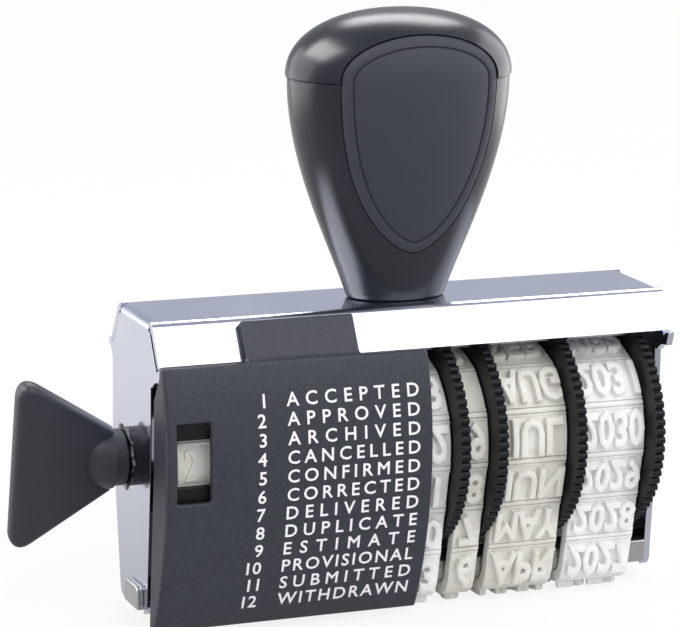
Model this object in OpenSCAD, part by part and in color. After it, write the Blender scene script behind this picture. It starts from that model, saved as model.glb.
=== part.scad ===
// Dial-a-phrase date stamp, in millimetres.
// X runs along the printing line, Y from the front to the back, Z up from the printing plane.
// The origin is the middle of the whole stamp's box, on the printing plane.

/* [Frame] */
// Width over the outer faces of the two end plates
frame_w = 66; // [64:0.5:76]
// Height of the top plate's upper face above the printing plane
top_h = 37.6; // [37:0.2:41]
// Thickness of the frame's sheet steel
sheet_t = 0.8; // [0.6:0.1:1]
// Depth of the flat part of the top plate, between the two long bends
flat_d = 10.9; // [10:0.1:12.5]
// Outer radius of the long bends
bend_r = 1.4; // [1.1:0.1:1.8]
// Lean of the two flanges from the vertical, in degrees
flange_lean = 31; // [26:1:34]
// Straight length of a flange below its bend
flange_len = 4.6; // [4:0.1:5]
// Outer radius of the bends above the end plates
end_bend_r = 1.1; // [1:0.1:1.4]
// Slit between a flange and the edge of an end plate behind it
corner_slit = 0.3; // [0.2:0.05:0.5]
// Distance of the end plates' front edges from the axle, below the flanges
waist_front = 6.2; // [5.8:0.1:7]
// Distance of the end plates' back edges from the axle, below the flanges
waist_back = 8.2; // [7.6:0.1:8.5]
// Depth of an end plate across its foot
foot_d = 9.8; // [9:0.2:11]
// Height of the end plates' lower edge above the printing plane
foot_h = 1.9; // [1.5:0.1:2.1]

/* [Bands] */
// Thickness of a rubber band's web
web_t = 1; // [0.8:0.1:1.2]
// Height of the pads on the web
pad_h = 0.4; // [0.3:0.05:0.6]
// Height of the type on the pads
type_h = 0.9; // [0.7:0.1:1.1]
// Height of one line of type, along the band
line_h = 4; // [3.4:0.1:4.4]
// Lines of type round one band
line_count = 14; // [12:1:15]
// Turn of the bands from their printing position, as a share of a line
line_turn = 0.5; // [0:0.05:1]
// Width of the groove between two pads
groove_w = 0.6; // [0.4:0.1:0.9]
// Width of each day band
day_band_w = 3.5; // [3:0.1:4]
// Width of the month band
month_band_w = 9; // [8:0.1:10]
// Width of the year band
year_band_w = 9; // [8:0.1:10]
// Bare margin along each edge of a band
band_margin = 0.4; // [0.3:0.05:0.6]
// Gap between two characters of type
letter_gap = 0.5; // [0.3:0.05:0.7]
// Characters across the phrase band's line of type
phrase_letters = 10; // [8:1:12]
// Width of the phrase band's strip for its index numbers
index_w = 4.2; // [3.6:0.1:5]

/* [Wheels] */
// Depth of the axle below the top plate's upper face
axle_drop = 17.3; // [16.9:0.1:18]
// Radius of the axle
axle_r = 2; // [1.6:0.1:2.2]
// Outer radius of the thumbwheels
wheel_r = 13.65; // [13:0.05:14]
// Thickness of a thumbwheel's rim
rim_t = 1.1; // [0.9:0.05:1.3]
// Beads round a rim
rim_beads = 76; // [64:2:80]
// Radius of the beads
bead_r = 0.48; // [0.4:0.02:0.5]
// Radius of the hubs that carry the bands
hub_r = 9; // [8.6:0.1:9.4]
// Radius of the flutes along a hub
flute_r = 0.5; // [0.3:0.05:0.7]
// Length of the collar between the last wheel and its clip
collar_l = 1.1; // [0.8:0.1:1.6]
// Radius of the collar
collar_r = 3.4; // [3:0.1:4]
// Thickness of the retaining clip
clip_t = 0.5; // [0.4:0.1:0.7]

/* [Bridge] */
// Half width of the bridge's flat underside
nose_y = 4.1; // [3.8:0.1:4.3]
// Outer radius of the bridge's two long edges
nose_r = 1.8; // [1.6:0.1:2]
// Height of the bridge's side walls above their bends
bridge_wall = 1.4; // [1:0.1:1.6]
// Width of the lugs that hold the bridge's ends
lug_w = 5; // [4:0.2:6]
// Height of the lugs outside the end plates
lug_h = 2.9; // [2.6:0.1:4]
// Distance of the lugs' middle in front of the axle
lug_front = 1.2; // [0:0.1:1.3]

/* [Cover] */
// Thickness of the moulded cover
cover_t = 1; // [0.8:0.1:1.2]
// Distance of the cover's front from the axle
cover_front = 13.2; // [13:0.1:13.6]
// Height of the cover's foremost line above the axle
cover_mid_up = 0.7; // [0:0.1:1.5]
// Radius of the cover above that line
cover_upper_r = 34; // [30:1:40]
// Radius of the cover below that line, over the drop that follows
cover_lower_r = 46; // [44:1:54]
// Drop from that line to the cover's lower edge for which the radius is given
cover_drop = 20; // [18:0.5:20.5]
// Height of the cover's lower edge above the printing plane
cover_foot_h = 1; // [0.6:0.1:1.4]
// Chamfer along the cover's left edge
cover_chamfer = 0.3; // [0.2:0.1:0.6]
// Distance by which the cover stands out past the left end plate
cover_over = 0.3; // [0:0.1:0.5]
// Gap between the cover's side wall and the end plate's front edge
wall_gap = 1.2; // [0.8:0.1:1.5]
// Width of the index window
window_w = 4.1; // [3.4:0.1:4.6]
// Height of the index window
window_h = 9.4; // [8:0.2:11]
// Height of the window's middle above the axle
window_mid_up = 1.9; // [0.8:0.1:2.6]
// Height of the sight gap between the sills behind the window
sight_h = 5.4; // [4.8:0.2:6]
// Width of the tab that clips over the front flange
tab_w = 14.1; // [12:0.5:17]
// Distance from the end plate's outer face to the tab
tab_in = 10.4; // [9:0.5:12]
// Thickness of the tab and of the tongue behind the flange
tab_t = 1.1; // [0.9:0.1:1.3]
// Thickness of the web that clips onto the axle
cover_web_t = 0.9; // [0.7:0.1:1.2]
// Radius of that web's eye
eye_r = 4.2; // [3.6:0.1:5]

/* [Handle] */
// Height of the handle above the top plate
handle_h = 34.8; // [32:0.2:40]
// Height of the seam between the grip and its cap
seam_h = 26.8; // [24:0.2:29]
// Width of the handle at the seam
head_w = 27.7; // [26:0.1:31]
// Width of the handle's neck on the top plate
neck_w = 12.2; // [10.5:0.1:14]
// Depth of the handle as a share of its width
handle_flat = 0.66; // [0.6:0.01:0.75]
// Overhang of the cap at the seam
cap_lip = 0.25; // [0.1:0.05:0.5]
// Width of the panel let into the handle's front
panel_w = 19.8; // [17:0.2:21]
// Height of the panel's lower tip above the top plate
panel_low = 6.2; // [5.6:0.2:9]
// Height of the panel's upper edge above the top plate
panel_high = 32.4; // [30:0.2:33]
// Thickness of the panel
panel_t = 0.9; // [0.6:0.1:1.2]
// Depth of the panel's face below the handle's surface
panel_sink = 0.25; // [0.1:0.05:0.5]
// Radius of the handle screw's shank
screw_r = 1.7; // [1.4:0.1:2]
// Length of the screw's shank inside the handle
screw_l = 12; // [8:0.5:16]
// Radius of the screw's head
screw_head_r = 3.2; // [2.8:0.1:4]
// Height of the screw's head
screw_head_t = 1.2; // [1:0.1:1.6]

/* [Knob] */
// Reach of the knob from the end plate's outer face
knob_reach = 14.9; // [13:0.1:18]
// Height of the knob's wing at its outer edge
wing_w = 20.8; // [18:0.2:24]
// Height of the wing where it meets its collar
wing_root_w = 8.8; // [8:0.2:11]
// Thickness of the wing
wing_t = 3; // [2.4:0.1:4]
// Radius of the wing's outer corners
wing_corner = 1.7; // [1.2:0.1:2.5]
// Radius of the knob's collar
knob_collar_r = 3.65; // [3.5:0.05:4.4]
// Length of the knob's collar
knob_collar_l = 1.6; // [1.2:0.1:2.2]
// Turn of the knob at rest, its top towards the front, in degrees
knob_turn = 12; // [0:1:45]
// Radius of the drum's journal in the left end plate
journal_r = 2.9; // [2.7:0.05:3.1]
// Length of the bush outside the left end plate
bush_l = 1; // [0.8:0.1:1.4]
// Radius of the bush outside the end plate
bush_r = 3.5; // [3.4:0.05:3.6]
// Outer radius of the spring washer
washer_r = 4; // [3.8:0.1:4.6]
// Thickness of the spring washer
washer_t = 0.3; // [0.2:0.05:0.4]

/* [Fits] */
// Radial running clearance of a shaft in its hole
run_gap = 0.05; // [0.02:0.01:0.08]
// Radial gap between a band and its hub
band_gap = 0.1; // [0.06:0.01:0.2]
// Gap between parts that run side by side
side_gap = 0.15; // [0.1:0.01:0.2]
// Gap between parts that clip or slip together
slip_gap = 0.1; // [0.05:0.01:0.15]

/* [Hidden] */
$fn = 64;

// Heights above the printing plane
axle_h = top_h - axle_drop;
cover_mid_h = axle_h + cover_mid_up;
// The lower radius grows with the drop, so the lower edge keeps its depth and its gap to the bands
cover_foot_r = cover_lower_r * pow((cover_mid_h - cover_foot_h) / cover_drop, 2);
window_mid_h = axle_h + window_mid_up;

// Places along X, from the middle of the frame
half_w = frame_w / 2;
inner_x = half_w - sheet_t;
rivet_t = 0.6;
left_end = -half_w - knob_reach;
right_end = half_w + max(rivet_t, sheet_t);
frame_x = -(left_end + right_end) / 2;

// Date lanes, counted from the left: each has a band and the rim to its right
band_ws = [day_band_w, day_band_w, month_band_w, year_band_w];
letters = [1, 1, 3, 4];
date_right = inner_x - clip_t - collar_l - 2 * slip_gap - side_gap;
function lane_w(i) = band_ws[i] + 2 * side_gap + rim_t;
function lane_right(i) = i == 3 ? date_right : lane_right(i + 1) - lane_w(i + 1);
function lane_left(i) = lane_right(i) - lane_w(i);

// Phrase section, between the left end plate and the cover's web
cover_right = lane_left(0) + side_gap;
web_right = lane_left(0) - side_gap / 2;
web_left = web_right - cover_web_t;
tongue_t = 0.8;
phrase_left = -inner_x + slip_gap + tongue_t + side_gap;
phrase_right = web_left - side_gap;

// Loop of a band: over a hub, then round the two noses of the bridge
band_t = web_t + pad_h + type_h;
loop_r = hub_r + band_gap;
nose_z = band_t + nose_r;
nose_drop = axle_h - nose_z;
nose_far = norm([nose_y, nose_drop]);
run_angle = acos((loop_r - nose_r) / nose_far) - atan2(nose_drop, nose_y);
run_len = sqrt(pow(nose_far, 2) - pow(loop_r - nose_r, 2));
core_hub_r = loop_r + web_t / 2;
core_nose_r = nose_r + web_t / 2;
nose_arc = core_nose_r * (90 + run_angle) * PI / 180;
hub_arc = core_hub_r * (90 - run_angle) * PI / 180;
half_loop = nose_y + nose_arc + run_len + hub_arc;
line_pitch = 2 * half_loop / line_count;

// Flange, seen from the end: its outer face runs from flange_top to flange_foot
bend_y = flat_d / 2;
out_y = cos(flange_lean);
out_z = sin(flange_lean);
flange_top = [bend_y + bend_r * out_y, top_h - bend_r + bend_r * out_z];
flange_foot = flange_top + flange_len * [out_z, -out_y];

// Handle and knob
neck_r = neck_w / 2;
head_r = head_w / 2;
dome_h = handle_h - seam_h;
swell = 1.08;
round_n = 2.2;
knob_face = -half_w - bush_l - washer_t - 2 * slip_gap;
bush_barrel_r = journal_r + 0.4;
collar_end = knob_face - knob_collar_l;
socket_l = 2.4;
knob_round = 0.2;
wing_root_r = 1;
washer_teeth = 10;
washer_root = 0.86 * washer_r;

// Corners of the end plates, and the slots and lugs at their feet
flange_x = half_w - 0.1;
flat_x = half_w - end_bend_r;
plate_inset = sheet_t + corner_slit;
plate_shoulder = flange_top - plate_inset * [out_y, out_z];
plate_notch = flange_foot + corner_slit * [out_z, -out_y];
tip_out = 0.6;
tip_drop = 0.3;
plate_tip = flange_foot + [tip_out, -tip_drop];
scoop_r = 2.6;
scoop_drops = [0.4, 1.6];
foot_corner = 1.2;
waists = [waist_back, waist_front];
shoulder_drop = 4;
lug_corner = 0.9;
lug_root = 2;

// Teardrop panel: share of its height where it is widest, and how blunt its lower tip is
panel_peak = 0.8;
panel_point = 0.6;
panel_steps = 20;

// Cover: its upper rim, the tongue behind the flange, the hook and the eye
cover_top_h = flange_foot.y + 0.2;
clip_root = 2;
tongue_drop = 0.6;
tongue_rise = 1.4;
tongue_step = 0.8;
hook_low = 0.3 * axle_h;
hook_high = 0.7 * axle_h;
hook_grip = 0.5;
hook_end = hook_grip - foot_d / 2;
cover_left = -half_w - cover_over;
window_x = -half_w + cover_t + slip_gap / 2;
sill_t = 0.6;
sill_in = 1.4;
sill_lap = 0.5;
sight_low = window_mid_h - sight_h / 2 - 0.2;
eye_strap = 0.8 * eye_r;
eye_mouth = 0.85 * axle_r;

// Small hardware
rivet_r = 1.5 * axle_r;
clip_r = collar_r - 0.2;
clip_mouth = 0.7 * axle_r;
slot_l = 1.4 * screw_head_r;
slot_w = 0.7;

// Puts a piece that is drawn round the frame's middle into the stamp's own frame
module on_frame() {
    translate([frame_x, 0, 0]) children();
}

// Extrudes a shape drawn in Y and Z along X, from one place to another
module along_x(from, to) {
    translate([from, 0, 0]) rotate([90, 0, 90]) linear_extrude(to - from) children();
}

// A round bar or bore on the axle's line
module axle_line(from, to, r) {
    translate([from, 0, axle_h]) rotate([0, 90, 0]) cylinder(h = to - from, r = r);
}

// Shapes that follow the band's loop

// Outline of the loop, grown outwards from its inner face
module loop(grow) {
    hub = loop_r + grow;
    nose = nose_r + grow;
    n = [cos(run_angle), sin(run_angle)];
    translate([0, axle_h]) circle(hub);
    for (side = [-1, 1]) translate([side * nose_y, nose_z]) circle(nose);
    polygon([
        [-nose_y, nose_z - nose],
        [nose_y, nose_z - nose],
        [nose_y + nose * n.x, nose_z + nose * n.y],
        [hub * n.x, axle_h + hub * n.y],
        [-hub * n.x, axle_h + hub * n.y],
        [-nose_y - nose * n.x, nose_z + nose * n.y]
    ]);
}

// Place and outward angle on the web's middle line, at a distance from the bottom's middle
function on_flat(s) = [s, nose_z - core_nose_r, -90];
function on_nose(s) = let (a = s / core_nose_r * 180 / PI - 90)
    [nose_y + core_nose_r * cos(a), nose_z + core_nose_r * sin(a), a];
function on_run(s) = [
    nose_y + core_nose_r * cos(run_angle) - s * sin(run_angle),
    nose_z + core_nose_r * sin(run_angle) + s * cos(run_angle),
    run_angle
];
function on_hub(s) = let (a = s / core_hub_r * 180 / PI + run_angle)
    [core_hub_r * cos(a), axle_h + core_hub_r * sin(a), a];
function on_side(s) = s < nose_y ? on_flat(s)
    : s < nose_y + nose_arc ? on_nose(s - nose_y)
    : s < nose_y + nose_arc + run_len ? on_run(s - nose_y - nose_arc)
    : on_hub(s - nose_y - nose_arc - run_len);
function flip(p) = [-p[0], p[1], 180 - p[2]];
function on_loop(s) = s > half_loop ? flip(on_side(2 * half_loop - s)) : on_side(s);

// A bar across the band at each line of type, or half way between two lines
module bars(shift, width, from, to) {
    for (i = [0 : line_count - 1]) {
        p = on_loop(((i + shift) % line_count) * line_pitch);
        translate([p[0], p[1]]) rotate(p[2])
            translate([from, -width / 2]) square([to - from, width]);
    }
}

// Section of a band's web with its pads
module web_section() {
    difference() {
        loop(web_t + pad_h);
        loop(0);
        bars(line_turn + 0.5, groove_w, web_t / 2, web_t + band_t);
    }
}

// Section of the type that stands on the pads
module type_section() {
    intersection() {
        difference() {
            loop(band_t);
            loop(web_t + pad_h / 2);
        }
        bars(line_turn, line_h, 0, web_t + band_t);
    }
}

// A band with a number of equal characters between two places
module type_band(from, to, type_from, type_to, count) {
    step = (type_to - type_from + letter_gap) / count;
    along_x(from, to) web_section();
    for (i = [0 : count - 1])
        along_x(type_from + i * step, type_from + (i + 1) * step - letter_gap) type_section();
}

// One date band in its lane
module date_band(i) {
    from = lane_left(i) + side_gap;
    to = from + band_ws[i];
    on_frame() type_band(from, to, from + band_margin, to - band_margin, letters[i]);
}

// Frame

// Section of the two long bends and their flanges
module flange_section() {
    for (side = [0, 1]) mirror([side, 0]) {
        translate([bend_y, top_h - bend_r]) intersection() {
            difference() {
                circle(bend_r);
                circle(bend_r - sheet_t);
            }
            polygon([[0, 0], [0, 2 * bend_r], 2 * bend_r * [1, 1], 2 * bend_r * [out_y, out_z]]);
        }
        polygon([
            flange_top,
            flange_foot,
            flange_foot - sheet_t * [out_y, out_z],
            flange_top - sheet_t * [out_y, out_z]
        ]);
    }
}

// Outline of an end plate: its edges lie behind the flanges, are scooped below them and taper to its foot
module plate_outline() {
    waist_h = plate_tip.y - scoop_r;
    for (side = [0, 1]) mirror([side, 0]) difference() {
        waist = waists[side];
        lean = atan2(waist - foot_d / 2, axle_h - foot_h);
        cut = foot_corner * tan((90 - lean) / 2);
        union() {
            translate([foot_d / 2 - cut, foot_h + foot_corner]) circle(foot_corner);
            polygon([
                [0, foot_h],
                [foot_d / 2 - cut, foot_h],
                [foot_d / 2 + cut * sin(lean), foot_h + cut * cos(lean)],
                [waist, axle_h],
                [waist, waist_h],
                [waist + scoop_r, waist_h],
                plate_tip,
                plate_notch,
                plate_notch - plate_inset * [out_y, out_z],
                plate_shoulder,
                [bend_y - corner_slit, top_h - end_bend_r],
                [0, top_h - end_bend_r]
            ]);
        }
        translate([waist + scoop_r, waist_h - scoop_drops[side]]) circle(scoop_r);
    }
}

// Sheet-steel frame folded from one blank: top plate, two flanges and two end plates
module frame() {
    end_w = flat_d - 2 * corner_slit;
    color("silver") on_frame() difference() {
        union() {
            translate([-flat_x, -bend_y, top_h - sheet_t]) cube([2 * flat_x, flat_d, sheet_t]);
            along_x(-flange_x, flange_x) flange_section();
            for (side = [0, 1]) mirror([side, 0, 0]) {
                along_x(inner_x, half_w) plate_outline();
                translate([flat_x, end_w / 2, top_h - end_bend_r]) rotate([90, 0, 0])
                    linear_extrude(end_w) intersection() {
                        difference() {
                            circle(end_bend_r);
                            circle(end_bend_r - sheet_t);
                        }
                        square(end_bend_r);
                    }
            }
        }
        axle_line(-half_w - 1, -inner_x + 1, bush_barrel_r + run_gap);
        axle_line(inner_x - 1, half_w + 1, axle_r + run_gap);
        translate([0, 0, top_h - 2 * sheet_t]) cylinder(h = 3 * sheet_t, r = screw_r + slip_gap);
        for (side = [-1, 1])
            translate([side * half_w - 2 * sheet_t, -lug_front - lug_w / 2 - slip_gap, foot_h - 1])
                cube([4 * sheet_t, lug_w + 2 * slip_gap, band_t + sheet_t + slip_gap - foot_h + 1]);
    }
}

// Steel bridge that the bands run round: a shallow channel with a bent lug at each end
module bridge() {
    floor_z = band_t;
    lug_x = half_w + sheet_t;
    bridge_x = inner_x - 2 * slip_gap;
    color("lightgray") on_frame() {
        along_x(-bridge_x, bridge_x) intersection() {
            difference() {
                channel_outline(0);
                channel_outline(sheet_t);
            }
            translate([-half_w, 0]) square([frame_w, nose_z + bridge_wall]);
        }
        for (side = [0, 1]) mirror([side, 0, 0]) {
            translate([inner_x - lug_root, -lug_front - lug_w / 2, floor_z])
                cube([lug_x - inner_x + lug_root, lug_w, sheet_t]);
            along_x(half_w, lug_x) translate([-lug_front, 0]) lug_outline();
        }
    }
}

// Outline of the bridge's channel, shrunk by a wall
module channel_outline(wall) {
    r = nose_r - slip_gap - wall;
    low = band_t + wall;
    for (side = [-1, 1]) translate([side * nose_y, low + r]) circle(r);
    translate([-nose_y, low]) square([2 * nose_y, axle_h]);
    translate([-nose_y - r, low + r]) square([2 * (nose_y + r), axle_h]);
}

// Outline of a bridge lug, with round upper corners
module lug_outline() {
    r = lug_corner;
    translate([-lug_w / 2, band_t]) square([lug_w, lug_h - r]);
    translate([r - lug_w / 2, band_t]) square([lug_w - 2 * r, lug_h]);
    for (side = [-1, 1]) translate([side * (lug_w / 2 - r), band_t + lug_h - r]) circle(r);
}

// Axle

// Steel axle, with a rivet head outside the right end plate
module axle() {
    color("gainsboro") on_frame() {
        axle_line(knob_face - socket_l + slip_gap, half_w + rivet_t / 2, axle_r);
        axle_line(half_w, half_w + rivet_t, rivet_r);
    }
}

// Collar that keeps the last wheel off the right end plate
module axle_collar() {
    from = date_right + side_gap;
    color("dimgray") on_frame() difference() {
        axle_line(from, from + collar_l, collar_r);
        axle_line(from - 1, from + collar_l + 1, axle_r + run_gap);
    }
}

// Open retaining ring beside the right end plate
module axle_clip() {
    to = inner_x - slip_gap;
    color("gray") on_frame() difference() {
        axle_line(to - clip_t, to, clip_r);
        axle_line(to - clip_t - 1, to + 1, axle_r + run_gap);
        translate([to - clip_t - 1, -clip_mouth, axle_h - 2 * collar_r])
            cube([clip_t + 2, 2 * clip_mouth, 2 * collar_r]);
    }
}

// Handle

// Radius of the grip at a height above the top plate
function grip_r(h) = neck_r + (head_r - neck_r) * sin(90 * pow(h / seam_h, swell));

// Points of the cap's dome, from the seam to the top
function dome_point(a, shrink, lip) = [
    (head_r + lip - shrink) * pow(cos(a), 2 / round_n),
    seam_h + (dome_h - shrink) * pow(sin(a), 2 / round_n)
];
function dome_points(shrink, lip) = concat(
    [for (a = [0 : 9 : 81]) dome_point(a, shrink, lip)],
    [[0, seam_h + dome_h - shrink]]
);

// Points of the grip's side, from the neck to the seam
function grip_points(shrink) = [for (i = [0 : 14]) [grip_r(seam_h * i / 14) - shrink, seam_h * i / 14]];

// The whole handle as a turned form, shrunk all round
module turned(shrink) {
    rotate_extrude($fn = 48) polygon(concat([[0, 0]], grip_points(shrink), dome_points(shrink, 0)));
}

// Half width of the teardrop panel at a share of its height
function panel_half(t) = panel_w / 2 * (
    t < panel_peak ? sin(90 * pow(t / panel_peak, panel_point))
    : sqrt(1 - pow((t - panel_peak) / (1 - panel_peak), 2))
);

// Teardrop bar that cuts the panel out of the handle's front
module panel_bar(inset) {
    ts = [for (i = [0 : panel_steps]) (1 - cos(180 * i / panel_steps)) / 2];
    side = [for (t = ts) [
        max(panel_half(t) - inset, 0),
        panel_low + inset + t * (panel_high - panel_low - 2 * inset)
    ]];
    back = [for (i = [panel_steps - 1 : -1 : 1]) [-side[i].x, side[i].y]];
    rotate([90, 0, 0]) linear_extrude(2 * head_r) polygon(concat(side, back));
}

// Pocket for the panel
module panel_pocket() {
    difference() {
        panel_bar(0);
        turned(panel_sink + panel_t + run_gap);
    }
}

// Places the handle on the top plate, flattened in depth
module handle_form() {
    translate([0, 0, top_h]) scale([1, handle_flat, 1]) children();
}

// Moulded grip with the pocket for its panel and the pilot hole for its screw
module handle_grip() {
    color("#2b2d33") on_frame() difference() {
        handle_form() difference() {
            rotate_extrude($fn = 48) polygon(concat([[0, 0]], grip_points(0), [[0, seam_h]]));
            panel_pocket();
        }
        translate([0, 0, top_h - 1]) cylinder(h = screw_l + 1 + slip_gap, r = screw_r + run_gap);
    }
}

// Domed cap that closes the grip
module handle_cap() {
    color("#2b2d33") on_frame() handle_form() difference() {
        rotate_extrude($fn = 48) polygon(concat([[0, seam_h]], dome_points(0, cap_lip)));
        panel_pocket();
    }
}

// Matt teardrop panel let into the front of the grip and the cap
module handle_panel() {
    color("#45464f") on_frame() handle_form() intersection() {
        panel_bar(slip_gap);
        difference() {
            turned(panel_sink);
            turned(panel_sink + panel_t);
        }
    }
}

// Screw that holds the handle from under the top plate
module handle_screw() {
    color("gray") on_frame() difference() {
        translate([0, 0, top_h - sheet_t]) union() {
            translate([0, 0, -screw_head_t]) cylinder(h = screw_head_t, r = screw_head_r);
            cylinder(h = sheet_t + screw_l, r = screw_r);
        }
        for (turn = [0, 90])
            translate([0, 0, top_h - sheet_t - screw_head_t]) rotate(turn)
                cube([slot_l, slot_w, screw_head_t], center = true);
    }
}

// Cover

// Curved wall of the cover with its chamfered left edge, as far as a place along X
module cover_wall(to, wall) {
    for (upper = [0, 1]) {
        r = upper == 1 ? cover_upper_r : cover_foot_r;
        low = upper == 1 ? cover_mid_h : cover_foot_h;
        high = upper == 1 ? cover_top_h : cover_mid_h;
        intersection() {
            translate([0, r - cover_front, cover_mid_h]) rotate([0, 90, 0])
                rotate_extrude($fn = 128) polygon([
                    [r - wall, cover_left],
                    [r - cover_chamfer, cover_left],
                    [r, cover_chamfer + cover_left],
                    [r, to],
                    [r - wall, to]
                ]);
            translate([cover_left, -cover_front - 1, low]) cube([to - cover_left, cover_front + 1, high - low]);
        }
    }
}

// Depth of the cover's outer face at a height
function cover_y(h) = let (r = h > cover_mid_h ? cover_upper_r : cover_foot_r)
    r - cover_front - sqrt(r * r - pow(h - cover_mid_h, 2));

// Section of the clip: a tab over the front flange and a tongue behind it
module clip_section() {
    n = [-out_y, out_z];
    top = [-flange_top.x, flange_top.y];
    foot = [-flange_foot.x, flange_foot.y];
    inner = sheet_t + slip_gap;
    wall_y = cover_y(cover_top_h) + cover_t / 2;
    root_h = cover_top_h - clip_root;
    polygon([
        top + slip_gap * n,
        top + (slip_gap + tab_t) * n,
        foot + (slip_gap + tab_t) * n,
        [cover_y(cover_top_h), cover_top_h],
        [cover_y(root_h), root_h],
        [cover_y(root_h) + cover_t, root_h],
        foot + slip_gap * n
    ]);
    polygon([
        [wall_y, foot.y - tongue_drop],
        [wall_y, foot.y - tongue_drop - tab_t],
        foot - (inner + tab_t) * n - [0, tongue_rise],
        foot - (inner + tab_t) * n + [tongue_step, tongue_rise],
        foot - inner * n + [tongue_step, tongue_rise],
        foot - inner * n - [0, tongue_drop]
    ]);
}

// Side wall in front of the left end plate
module side_wall() {
    difference() {
        cover_wall(slip_gap - inner_x, 1.5 * cover_front);
        along_x(cover_left - 1, 1 - inner_x) polygon([
            [-foot_d / 2 - wall_gap, 0],
            [-foot_d / 2 - wall_gap, foot_h],
            [-waist_front - wall_gap, axle_h],
            [-waist_front - wall_gap, flange_foot.y - shoulder_drop],
            [-flange_foot.x - 1, flange_foot.y - 1],
            [-flange_foot.x - 1, top_h],
            [1, top_h],
            [1, 0]
        ]);
    }
}

// Web at the cover's right end, with an eye that snaps onto the axle
module eye_section() {
    difference() {
        union() {
            translate([0, axle_h]) circle(eye_r);
            translate([cover_y(axle_h) + cover_t / 2, axle_h - eye_strap])
                square([-cover_y(axle_h) - cover_t / 2, 2 * eye_strap]);
        }
        translate([0, axle_h]) circle(axle_r + run_gap);
        translate([0, axle_h - eye_mouth]) square([2 * eye_r, 2 * eye_mouth]);
    }
}

// Moulded front cover of the phrase band, clipped to the flange, the end plate and the axle
module front_cover() {
    tab_x = tab_in - half_w;
    color("#3f4149") on_frame() {
        difference() {
            union() {
                cover_wall(cover_right, cover_t);
                side_wall();
                along_x(tab_x, tab_x + tab_w) clip_section();
                along_x(web_left, web_right) eye_section();
                along_x(slip_gap - inner_x, slip_gap - inner_x + tongue_t) hook_section();
            }
            translate([window_x, -cover_front - 1, window_mid_h - window_h / 2])
                cube([window_w, cover_front / 2, window_h]);
        }
        window_sills();
    }
}

// Sills above and below the index window, set back behind it
module window_sills() {
    low = window_mid_h - window_h / 2 - sill_lap;
    high = window_mid_h + window_h / 2 + sill_lap;
    for (reach = [[low, sight_low], [sight_low + sight_h, high]])
        translate([window_x - sill_lap, sill_in - cover_front, reach[0]])
            cube([window_w + 2 * sill_lap, sill_t, reach[1] - reach[0]]);
}

// Rib behind the cover's left edge, which grips the end plate from inside
module hook_section() {
    polygon([
        [cover_y(hook_low) + cover_t / 2, hook_low],
        [hook_end, hook_low],
        [hook_end, hook_high],
        [cover_y(hook_high) + cover_t / 2, hook_high]
    ]);
}

// Bands

// Wide rubber band with the phrases, and a strip for their index numbers on its left
module phrase_band() {
    type_from = phrase_left + index_w;
    type_to = phrase_right - band_margin;
    color("#e0dfd5") on_frame()
        type_band(phrase_left, phrase_right, type_from, type_to, phrase_letters);
}

// Rubber band with the tens of the day
module day_tens_band() {
    color("#dcdddb") date_band(0);
}

// Rubber band with the units of the day
module day_units_band() {
    color("#e0dfd5") date_band(1);
}

// Rubber band with the months
module month_band() {
    color("#e0dfd5") date_band(2);
}

// Rubber band with the years
module year_band() {
    color("#dcdddb") date_band(3);
}

// Wheels

// Flutes along a hub, which grip the band
module flutes(from, to) {
    for (i = [0 : line_count - 1]) {
        a = i * 360 / line_count;
        translate([0, hub_r * cos(a), hub_r * sin(a)]) axle_line(from, to, flute_r);
    }
}

// Beaded outline of a thumbwheel's rim
module rim_outline() {
    bead_line = wheel_r - bead_r;
    translate([0, axle_h]) {
        circle(bead_line, $fn = 128);
        for (i = [0 : rim_beads - 1])
            rotate(i * 360 / rim_beads) translate([bead_line, 0]) circle(bead_r, $fn = 16);
    }
}

// A thumbwheel: a fluted hub for the band and a beaded rim to its right
module thumbwheel(i) {
    from = lane_left(i) + side_gap / 2;
    rim_x = lane_right(i) - rim_t;
    color("#202226") on_frame() difference() {
        union() {
            difference() {
                axle_line(from, rim_x + rim_t / 2, hub_r);
                flutes(from - 1, rim_x);
            }
            along_x(rim_x, lane_right(i)) rim_outline();
        }
        axle_line(from - 1, lane_right(i) + 1, axle_r + run_gap);
    }
}

// Thumbwheel of the day's tens
module day_tens_wheel() {
    thumbwheel(0);
}

// Thumbwheel of the day's units
module day_units_wheel() {
    thumbwheel(1);
}

// Thumbwheel of the months
module month_wheel() {
    thumbwheel(2);
}

// Thumbwheel of the years
module year_wheel() {
    thumbwheel(3);
}

// Phrase drive

// Fluted drum inside the phrase band, with a journal in the left end plate
module phrase_drum() {
    color("#202226") on_frame() difference() {
        union() {
            difference() {
                axle_line(phrase_left, phrase_right, hub_r);
                flutes(phrase_left - 1, phrase_right + 1);
            }
            axle_line(knob_face - socket_l, phrase_left + 1, journal_r);
        }
        axle_line(knob_face - socket_l - 1, phrase_right + 1, axle_r + run_gap);
    }
}

// One corner of the knob's wing, thinner towards its edge
module wing_corner_form(x, z, r) {
    bevel = 0.4 * r;
    translate([x, 0, axle_h + z]) rotate([90, 0, 0]) {
        cylinder(h = wing_t - 2 * bevel, r = r, center = true, $fn = 32);
        cylinder(h = wing_t, r = r - bevel, center = true, $fn = 32);
    }
}

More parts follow.
